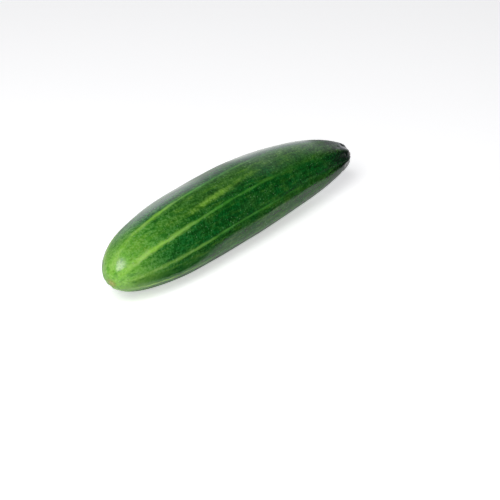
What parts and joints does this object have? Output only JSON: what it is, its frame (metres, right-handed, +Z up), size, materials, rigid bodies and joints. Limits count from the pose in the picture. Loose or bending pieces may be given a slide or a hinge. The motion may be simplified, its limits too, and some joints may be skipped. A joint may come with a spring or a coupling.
{
  "type": "cucumber",
  "caption": "Whole slicing cucumber lying on its side: glossy green skin with low ribs and pale stripes, a blossom scar and a dry stem stump.",
  "frame": {"origin": "on the resting surface, under the middle of the fruit's bounding box", "axes": "+X along the fruit from the blossom end to the stem end, +Z up from the resting surface, -Y towards the hollow side of the bend"},
  "size_m": [0.2394, 0.0566, 0.0523],
  "materials": {
    "skin": "smooth waxy rind, glossy, dark green with pale yellow-green stripes and a lighter blossom end"
  },
  "bodies": {
    "root": {"cucumber": "skin"}
  },
  "joints": []
}
